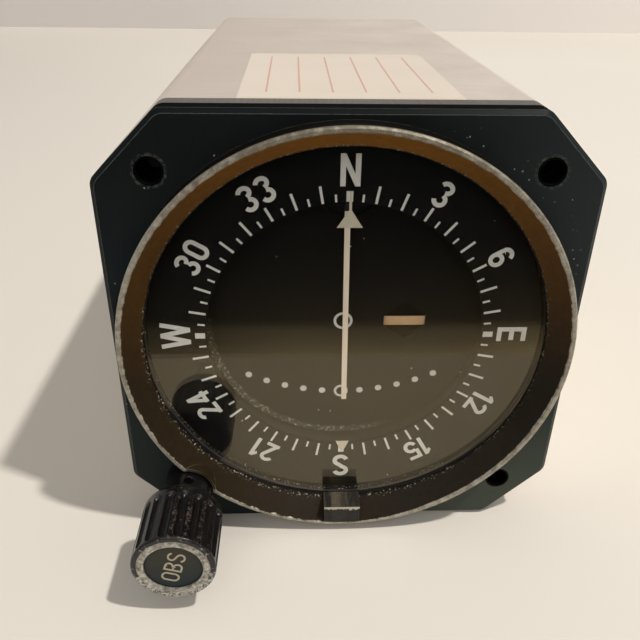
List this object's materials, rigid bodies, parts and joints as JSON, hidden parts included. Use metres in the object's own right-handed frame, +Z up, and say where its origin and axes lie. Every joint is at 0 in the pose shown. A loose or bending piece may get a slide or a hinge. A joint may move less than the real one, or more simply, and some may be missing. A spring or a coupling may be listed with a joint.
{
  "type": "navigation indicator",
  "caption": "Panel instrument with a turning compass card behind glass, a hanging deviation needle, a flag window, a fluted course knob and a long clipped-corner case.",
  "frame": {"origin": "centre of the dial on the front face of the flange, on the axis of the ring that enters the panel hole", "axes": "+X to the right of the dial, +Y back into the case, +Z up the dial; the ring and the knob point along -Y"},
  "size_m": [0.0818, 0.1649, 0.0819],
  "materials": {
    "block_black": "satin black enamel",
    "board_green": "lacquered laminate",
    "brass": "turned",
    "cap_dark": "dark blue grey",
    "capacitor_blue": "sleeved",
    "case_metal": "brushed and clear lacquered",
    "component_tan": "lacquered",
    "connector_metal": "dull plated",
    "contact_gold": "plated",
    "copper_wire": "enamelled winding",
    "dial_black": "matte black",
    "dial_white": "printed",
    "flag_amber": "aged amber paint",
    "flag_black": "matte",
    "flange_black": "satin black enamel",
    "frame_grey": "dull anodised",
    "index_paint": "printed",
    "insert_black": "moulded",
    "knob_black": "worn gloss black",
    "knob_bright": "worn bare metal",
    "label_foil": "satin cream",
    "lens": "clear glass",
    "magnet_iron": "dark",
    "needle_cream": "aged cream paint",
    "plate_aluminium": "milled",
    "ring_black": "satin black enamel, bare at the rim",
    "rubber_black": "matte",
    "steel": "zinc plated",
    "trimmer_blue": "moulded"
  },
  "bodies": {
    "root": {"bezel_flange": "flange_black", "bezel_ring": "ring_black", "badge_block": "block_black", "lens_glass": "lens", "lens_gasket": "rubber_black", "lens_retainer": "ring_black", "index_marks": "index_paint", "front_frame": "frame_grey", "mount_nuts": "steel", "shaft_bushes": "brass", "card_bearing_ring": "brass", "card_retainer": "steel", "mask_plate": "dial_black", "mask_marks": "dial_white", "mask_standoffs": "steel", "frame_pillars": "steel", "movement_plate": "plate_aluminium", "jewel_bushes": "brass", "meter_magnet": "magnet_iron", "meter_core": "magnet_iron", "bridge_posts": "brass", "meter_bridge": "brass", "hairspring": "steel", "flag_coil": "copper_wire", "flag_bridge": "brass", "plate_spacers": "steel", "resolver_plate": "plate_aluminium", "resolver_body": "plate_aluminium", "resolver_clamps": "steel", "chassis_rails": "plate_aluminium", "circuit_board": "board_green", "capacitors": "capacitor_blue", "small_components": "component_tan", "trimmers": "trimmer_blue", "case_sleeve": "case_metal", "case_label": "label_foil", "rear_cover": "case_metal", "case_screws": "steel", "connector_shell": "connector_metal", "connector_insert": "insert_black", "connector_pins": "contact_gold"},
    "knob": {"obs_knob": "knob_black", "knob_ring": "knob_bright", "knob_cap": "cap_dark", "knob_set_screws": "steel", "obs_shaft": "steel", "drive_pinions": "brass"},
    "card": {"compass_card": "dial_black", "card_ticks": "dial_white", "card_gear": "brass"},
    "resolver": {"resolver_gear": "brass", "resolver_shaft": "steel"},
    "needle": {"deviation_needle": "needle_cream", "needle_weight": "brass", "needle_coil": "copper_wire"},
    "flag": {"flag_vane": "flag_black", "flag_patches": "flag_amber", "flag_rotor": "magnet_iron"}
  },
  "joints": [
    {"name": "card_spin", "type": "hinge", "parent": "root", "child": "card", "pos_m": [0, 0.006, 0], "axis": [0, -1, 0], "continuous": true},
    {"name": "knob_spin", "type": "hinge", "parent": "root", "child": "knob", "pos_m": [-0.0297, 0, -0.0297], "axis": [0, -1, 0], "continuous": true},
    {"name": "resolver_spin", "type": "hinge", "parent": "root", "child": "resolver", "pos_m": [0, 0.03, 0], "axis": [0, -1, 0], "continuous": true},
    {"name": "needle_swing", "type": "hinge", "parent": "root", "child": "needle", "pos_m": [0, 0.0085, 0.027], "axis": [0, -1, 0], "range_deg": [-25.7, 24.3], "stiffness_Nm_per_rad": 0.0002},
    {"name": "flag_swing", "type": "hinge", "parent": "root", "child": "flag", "pos_m": [-0.002, 0.0107, 0], "axis": [0, -1, 0], "range_deg": [-22, 22], "stiffness_Nm_per_rad": 0.0001}
  ],
  "couplings": [
    {"joint": "knob_spin", "follows": "card_spin", "ratio": -6},
    {"joint": "resolver_spin", "follows": "card_spin", "ratio": 1}
  ]
}
